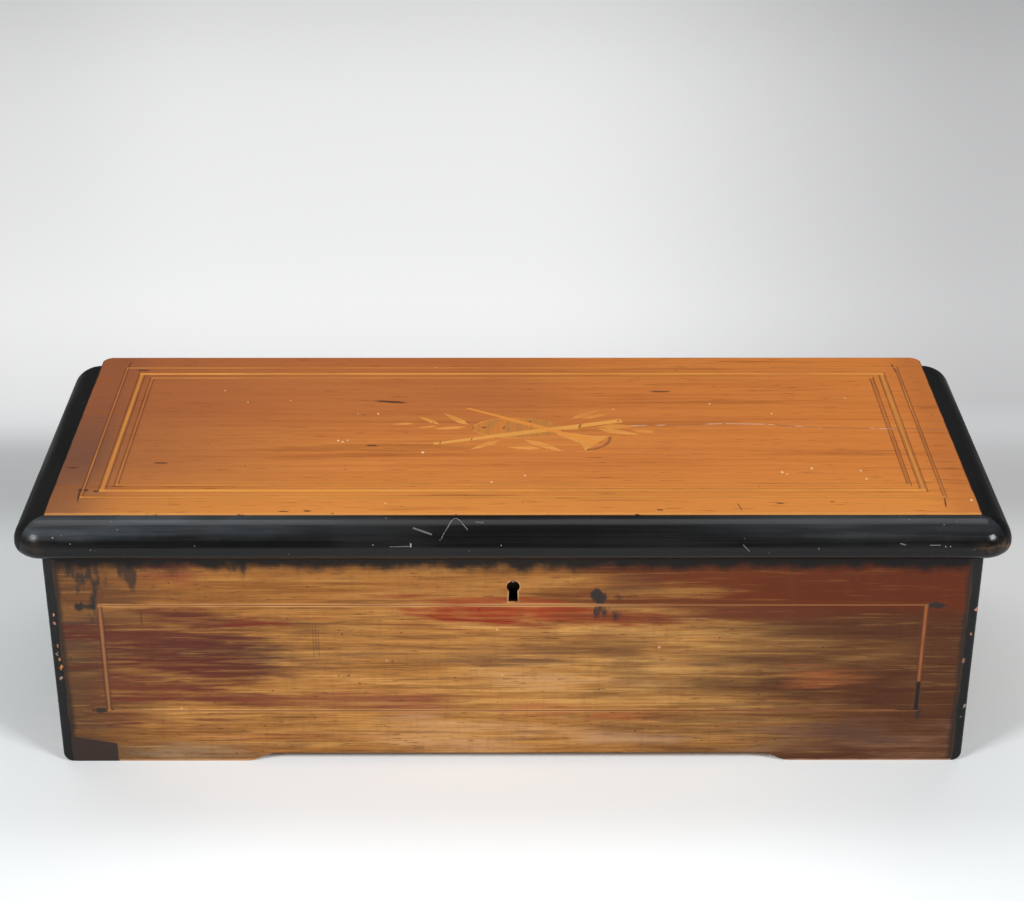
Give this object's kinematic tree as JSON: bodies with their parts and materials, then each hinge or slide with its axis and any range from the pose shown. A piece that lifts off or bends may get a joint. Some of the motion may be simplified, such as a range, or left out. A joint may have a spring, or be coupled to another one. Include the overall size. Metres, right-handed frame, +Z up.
{
  "type": "wind-up music box",
  "caption": "Closed cylinder musical box: veneered, inlaid wooden case with ebonised lid mouldings, a hinged lid, an inner glass lid, and a lever-wound comb, cylinder and governor movement.",
  "frame": {"origin": "on the table, under the middle of the whole closed box", "axes": "+X along the case to the right as seen from the front, +Y from the front to the back, +Z up"},
  "size_m": [0.506, 0.2104, 0.1488],
  "materials": {
    "dark_wood": "satin",
    "carcass_wood": "satin",
    "front_veneer": "polished",
    "lid_veneer": "polished",
    "string_wood": "polished",
    "inlay_wood": "polished",
    "ebonised_wood": "gloss",
    "brass": "polished",
    "steel": "polished",
    "dark_iron": "painted",
    "glass": "clear",
    "card": "paper"
  },
  "bodies": {
    "case": {"front_panel": "carcass_wood", "front_veneer": "front_veneer", "back_panel": "dark_wood", "left_end_panel": "dark_wood", "right_end_panel": "dark_wood", "bottom_board": "carcass_wood", "corner_strips": "ebonised_wood", "left_partition": "carcass_wood", "right_partition": "carcass_wood", "front_stringing": "string_wood", "keyhole_escutcheon": "brass", "lock_case": "brass", "case_hinge_leaves": "brass", "glass_lid_pivots": "brass", "bedplate": "dark_iron", "comb_base": "dark_iron", "comb": "steel", "barrel_brackets": "brass", "ratchet_click": "steel", "cylinder_bridges": "brass", "governor_frame": "brass", "governor_top_cock": "brass", "control_brackets": "brass"},
    "lid": {"lid_panel": "carcass_wood", "lid_veneer": "lid_veneer", "lid_stringing": "string_wood", "lid_marquetry": "inlay_wood", "lid_moulding_front": "ebonised_wood", "lid_moulding_left": "ebonised_wood", "lid_moulding_right": "ebonised_wood", "lid_back_rail": "dark_wood", "tune_card": "card", "lid_hinge_leaves": "brass", "lock_link_plate": "brass"},
    "glass_lid": {"glass_lid_frame": "dark_wood", "glass_pane": "glass", "glass_lid_knob": "brass"},
    "lock_bolt": {"lock_bolt": "steel"},
    "winding_lever": {"winding_lever": "steel", "winding_grip": "ebonised_wood"},
    "winding_arbor": {"winding_arbor": "steel", "ratchet_wheel": "steel"},
    "spring_barrel": {"barrel_drum": "brass", "barrel_great_wheel": "brass", "mainspring": "steel"},
    "cylinder_arbor": {"cylinder_arbor": "steel", "cylinder_great_wheel": "brass", "tune_snail": "steel"},
    "cylinder": {"cylinder_sleeve": "brass", "cylinder_end_caps": "brass"},
    "governor_first": {"governor_first_arbor": "brass"},
    "governor_second": {"governor_second_arbor": "brass"},
    "governor_fan": {"governor_fan": "steel"},
    "start_lever": {"start_lever": "brass"},
    "change_lever": {"change_lever": "brass"}
  },
  "joints": [
    {"name": "lid_hinge", "type": "hinge", "parent": "case", "child": "lid", "pos_m": [0, 0.1027, 0.12465], "axis": [-1, 0, 0], "range_deg": [0, 95]},
    {"name": "glass_lid_hinge", "type": "hinge", "parent": "case", "child": "glass_lid", "pos_m": [0, 0.0818, 0.109], "axis": [-1, 0, 0], "range_deg": [0, 85.5]},
    {"name": "lock_bolt_throw", "type": "slide", "parent": "case", "child": "lock_bolt", "axis": [1, 0, 0], "range_m": [0, 0.0048]},
    {"name": "winding_stroke", "type": "hinge", "parent": "case", "child": "winding_lever", "pos_m": [-0.202, -0.02803, 0.064], "axis": [-1, 0, 0], "range_deg": [0, 95]},
    {"name": "winding_turn", "type": "hinge", "parent": "case", "child": "winding_arbor", "pos_m": [-0.202, -0.02803, 0.064], "axis": [-1, 0, 0], "range_deg": [0, 95]},
    {"name": "cylinder_spin", "type": "hinge", "parent": "case", "child": "cylinder_arbor", "pos_m": [0, 0.0198, 0.068], "axis": [1, 0, 0], "continuous": true},
    {"name": "tune_shift", "type": "slide", "parent": "cylinder_arbor", "child": "cylinder", "axis": [1, 0, 0], "range_m": [0, 0.0021]},
    {"name": "barrel_spin", "type": "hinge", "parent": "case", "child": "spring_barrel", "pos_m": [-0.1615, -0.02803, 0.064], "axis": [1, 0, 0], "continuous": true},
    {"name": "governor_first_spin", "type": "hinge", "parent": "case", "child": "governor_first", "pos_m": [0.14125, -0.01138, 0.05], "axis": [1, 0, 0], "continuous": true},
    {"name": "governor_second_spin", "type": "hinge", "parent": "case", "child": "governor_second", "pos_m": [0.14125, -0.02419, 0.06264], "axis": [1, 0, 0], "continuous": true},
    {"name": "fan_spin", "type": "hinge", "parent": "case", "child": "governor_fan", "pos_m": [0.15425, -0.01269, 0.078], "axis": [0, 0, 1], "continuous": true},
    {"name": "start_lever_swing", "type": "hinge", "parent": "case", "child": "start_lever", "pos_m": [0.207, -0.02379, 0.05], "axis": [-1, 0, 0], "range_deg": [0, 20]},
    {"name": "change_lever_swing", "type": "hinge", "parent": "case", "child": "change_lever", "pos_m": [0.207, 0.0578, 0.05], "axis": [1, 0, 0], "range_deg": [0, 20]}
  ],
  "couplings": [
    {"joint": "glass_lid_hinge", "follows": "lid_hinge", "ratio": 0.9},
    {"joint": "winding_turn", "follows": "winding_stroke", "ratio": 1},
    {"joint": "barrel_spin", "follows": "cylinder_spin", "ratio": -0.33333},
    {"joint": "governor_first_spin", "follows": "cylinder_spin", "ratio": -7},
    {"joint": "governor_second_spin", "follows": "cylinder_spin", "ratio": 35},
    {"joint": "fan_spin", "follows": "cylinder_spin", "ratio": -420}
  ]
}
